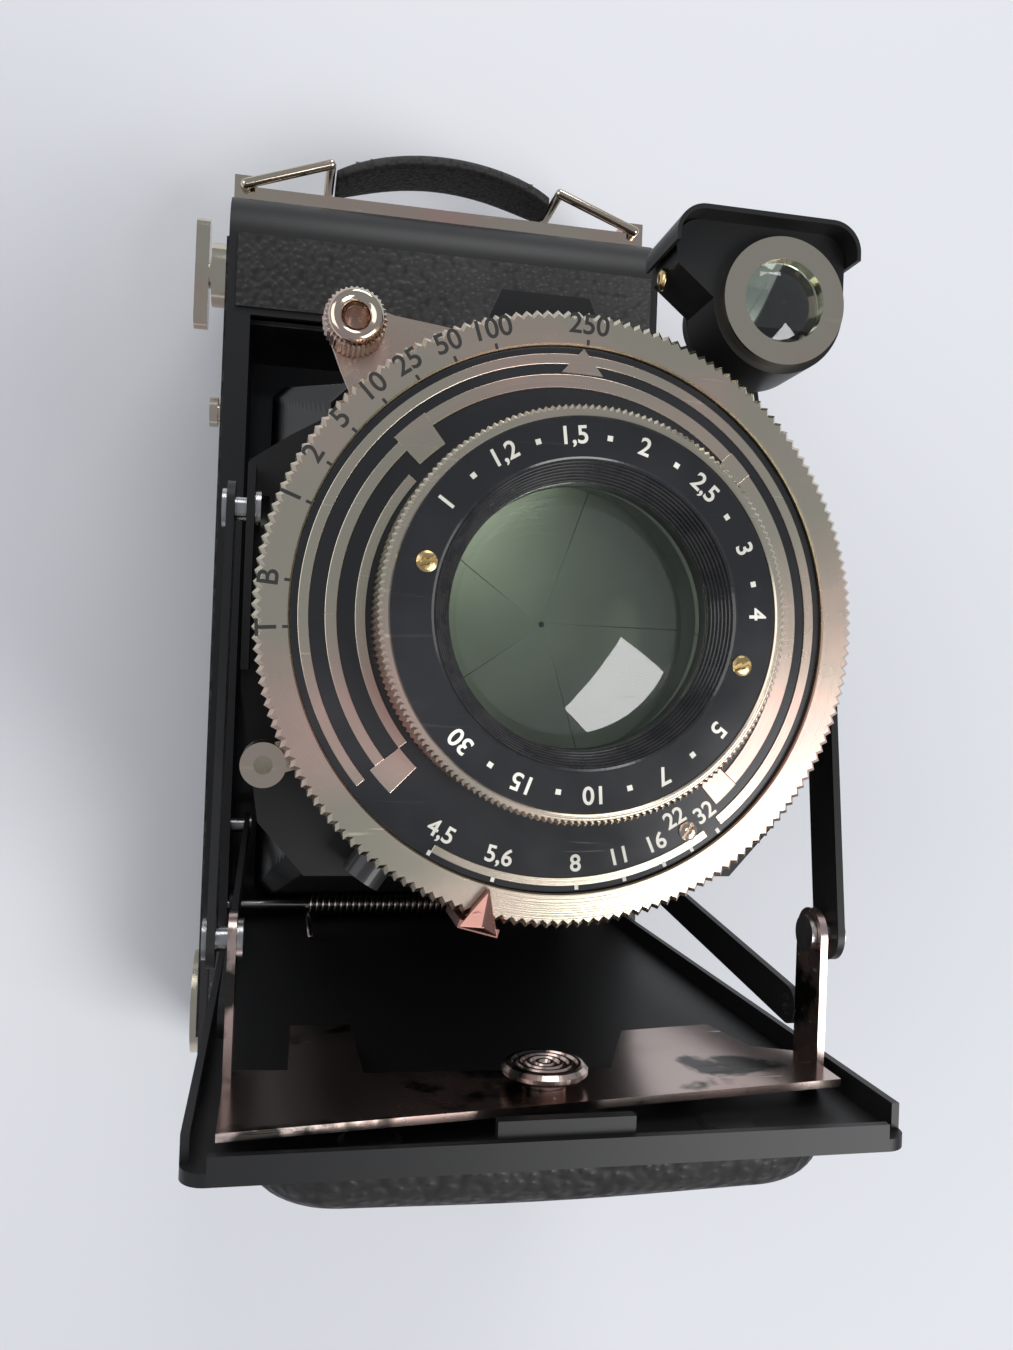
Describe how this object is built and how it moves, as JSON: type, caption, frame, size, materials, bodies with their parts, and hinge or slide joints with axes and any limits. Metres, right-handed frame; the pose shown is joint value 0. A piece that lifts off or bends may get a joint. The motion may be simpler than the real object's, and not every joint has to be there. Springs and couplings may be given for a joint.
{
  "type": "folding camera",
  "caption": "Self-erecting folding roll-film camera with a hinged bed, bellows, rim-set leaf shutter, brilliant finder and hinged back.",
  "frame": {"origin": "on the back face, under the lens axis; the camera lies on its back", "axes": "+Z along the lens axis, +Y to the body's top end, +X to the right"},
  "size_m": [0.0839, 0.1735, 0.1362],
  "materials": {
    "leather": "pebbled black leather",
    "bellows_cloth": "matt black pleated skin",
    "black_enamel": "gloss black enamel",
    "nickel": "satin nickel",
    "steel": "plain steel",
    "brass": "plain brass",
    "spool_paint": "black paint",
    "glass": "clear coated glass",
    "red_glass": "deep red",
    "mirror": "silvered"
  },
  "bodies": {
    "body": {"body_shell": "black_enamel", "body_leather": "leather", "film_frame": "black_enamel", "bed_hinge_pin": "steel", "back_hinge_pin": "steel", "trim_strip": "nickel", "bellows": "bellows_cloth", "spool_pins": "brass", "tripod_bush": "steel", "handle_brackets": "nickel"},
    "supply_roller": {"supply_roller": "steel"},
    "takeup_roller": {"takeup_roller": "steel"},
    "supply_spool": {"supply_spool": "spool_paint"},
    "takeup_spool": {"takeup_spool": "spool_paint"},
    "winding_key": {"winding_key": "nickel"},
    "spool_knob": {"spool_knob": "nickel"},
    "bed_release": {"bed_release_button": "nickel"},
    "bail_left": {"handle_bail_left": "nickel"},
    "bail_right": {"handle_bail_right": "nickel"},
    "strap": {"handle_strap": "leather"},
    "back": {"back_door": "black_enamel", "back_leather": "leather", "red_window": "red_glass"},
    "window_cover": {"window_cover": "black_enamel"},
    "pressure": {"pressure_plate": "black_enamel", "pressure_springs": "steel"},
    "latch": {"back_latch": "nickel"},
    "bed": {"bed_plate": "black_enamel", "bed_leather": "leather", "bed_spring": "steel", "bed_bracket": "nickel"},
    "press_button": {"press_button": "nickel"},
    "arms": {"lens_arms": "black_enamel", "arm_rivets": "black_enamel"},
    "struts": {"side_struts": "black_enamel", "strut_rivets": "black_enamel"},
    "standard": {"standard_plate": "black_enamel", "shutter_case": "black_enamel", "cable_socket": "steel", "faceplate": "black_enamel", "shutter_blades": "steel", "iris_blades": "steel", "rear_cell": "brass", "rear_glass": "glass", "finder_bracket": "black_enamel"},
    "speed": {"speed_ring": "nickel"},
    "aperture": {"aperture_lever": "nickel"},
    "cocking": {"cocking_lever": "nickel", "cocking_knob": "nickel"},
    "release": {"release_lever": "nickel", "release_knob": "nickel"},
    "focus": {"focus_ring": "nickel", "lens_face": "black_enamel", "front_glass": "glass", "lens_screws": "brass"},
    "finder": {"finder_body": "black_enamel", "finder_ring": "nickel", "finder_lenses": "glass", "finder_mirror": "mirror", "finder_hood": "black_enamel"}
  },
  "joints": [
    {"name": "bed_fold", "type": "hinge", "parent": "body", "child": "bed", "pos_m": [0, -0.0465, 0.035], "axis": [-1, 0, 0], "range_deg": [0, 90], "deforming": ["bellows"]},
    {"name": "arm_fold", "type": "hinge", "parent": "bed", "child": "arms", "pos_m": [0, -0.0325, 0.121], "axis": [-1, 0, 0], "range_deg": [0, 72.5]},
    {"name": "standard_fold", "type": "hinge", "parent": "arms", "child": "standard", "pos_m": [0, 0.01062, 0.11494], "axis": [-1, 0, 0], "range_deg": [-162.5, 0]},
    {"name": "strut_fold", "type": "hinge", "parent": "body", "child": "struts", "pos_m": [0, -0.033, 0.0325], "axis": [-1, 0, 0], "range_deg": [0, 98]},
    {"name": "back_open", "type": "hinge", "parent": "body", "child": "back", "pos_m": [0, -0.0795, 0.0111], "axis": [-1, 0, 0], "range_deg": [0, 100]},
    {"name": "cover_turn", "type": "hinge", "parent": "back", "child": "window_cover", "pos_m": [0.011, 0.02, 0.002], "axis": [0, 0, 1], "range_deg": [0, 60]},
    {"name": "pressure_give", "type": "slide", "parent": "back", "child": "pressure", "axis": [0, 0, -1], "range_m": [0, 0.0008], "stiffness_N_per_m": 600, "deforming": ["pressure_springs"]},
    {"name": "latch_slide", "type": "slide", "parent": "body", "child": "latch", "axis": [1, 0, 0], "range_m": [0, 0.003]},
    {"name": "winding_turn", "type": "hinge", "parent": "body", "child": "winding_key", "pos_m": [0, 0.0661, 0.024], "axis": [1, 0, 0], "continuous": true},
    {"name": "takeup_spool_turn", "type": "hinge", "parent": "body", "child": "takeup_spool", "pos_m": [0, 0.0661, 0.024], "axis": [1, 0, 0], "continuous": true},
    {"name": "supply_spool_turn", "type": "hinge", "parent": "body", "child": "supply_spool", "pos_m": [0, -0.0661, 0.024], "axis": [1, 0, 0], "continuous": true},
    {"name": "supply_roller_turn", "type": "hinge", "parent": "body", "child": "supply_roller", "pos_m": [0, -0.0578, 0.011], "axis": [1, 0, 0], "continuous": true},
    {"name": "takeup_roller_turn", "type": "hinge", "parent": "body", "child": "takeup_roller", "pos_m": [0, 0.0578, 0.011], "axis": [1, 0, 0], "continuous": true},
    {"name": "spool_knob_pull", "type": "slide", "parent": "body", "child": "spool_knob", "axis": [-1, 0, 0], "range_m": [0, 0.005], "stiffness_N_per_m": 400},
    {"name": "bed_release_press", "type": "slide", "parent": "body", "child": "bed_release", "axis": [1, 0, 0], "range_m": [0, 0.001], "stiffness_N_per_m": 800},
    {"name": "handle_lift", "type": "hinge", "parent": "body", "child": "bail_left", "pos_m": [-0.0365, 0.0816, 0.02], "axis": [0, 0, 1], "range_deg": [0, 5]},
    {"name": "handle_lift_right", "type": "hinge", "parent": "body", "child": "bail_right", "pos_m": [0.0365, 0.0816, 0.02], "axis": [0, 0, 1], "range_deg": [-5, 0]},
    {"name": "strap_lift", "type": "slide", "parent": "body", "child": "strap", "axis": [0, 1, 0], "range_m": [0, 0.0012]},
    {"name": "button_press", "type": "slide", "parent": "bed", "child": "press_button", "axis": [0, -1, 0], "range_m": [0, 0.0009], "stiffness_N_per_m": 800},
    {"name": "speed_set", "type": "hinge", "parent": "standard", "child": "speed", "pos_m": [0, 0, 0.126], "axis": [0, 0, 1], "range_deg": [-95, 0]},
    {"name": "aperture_set", "type": "hinge", "parent": "standard", "child": "aperture", "pos_m": [0, 0, 0.1225], "axis": [0, 0, 1], "range_deg": [-14, 50]},
    {"name": "cocking_swing", "type": "hinge", "parent": "standard", "child": "cocking", "pos_m": [0, 0, 0.1215], "axis": [0, 0, 1], "range_deg": [-30, 0], "stiffness_Nm_per_rad": 0.02},
    {"name": "release_press", "type": "hinge", "parent": "standard", "child": "release", "pos_m": [-0.01782, -0.01202, 0.119], "axis": [0, 0, 1], "range_deg": [0, 8], "stiffness_Nm_per_rad": 0.02},
    {"name": "focus_turn", "type": "hinge", "parent": "standard", "child": "focus", "pos_m": [0, 0, 0.13], "axis": [0, 0, 1], "range_deg": [0, 270]},
    {"name": "finder_turn", "type": "hinge", "parent": "standard", "child": "finder", "pos_m": [0.021, 0.035, 0.119], "axis": [0, 0, 1], "range_deg": [-90, 0]}
  ],
  "couplings": [
    {"joint": "arm_fold", "follows": "bed_fold", "ratio": 0.8},
    {"joint": "standard_fold", "follows": "bed_fold", "ratio": -1.8},
    {"joint": "strut_fold", "follows": "bed_fold", "ratio": 1.087},
    {"joint": "takeup_spool_turn", "follows": "winding_turn", "ratio": 1},
    {"joint": "handle_lift", "follows": "strap_lift", "rad_per_m": 64.5},
    {"joint": "handle_lift_right", "follows": "strap_lift", "rad_per_m": -64.5}
  ]
}
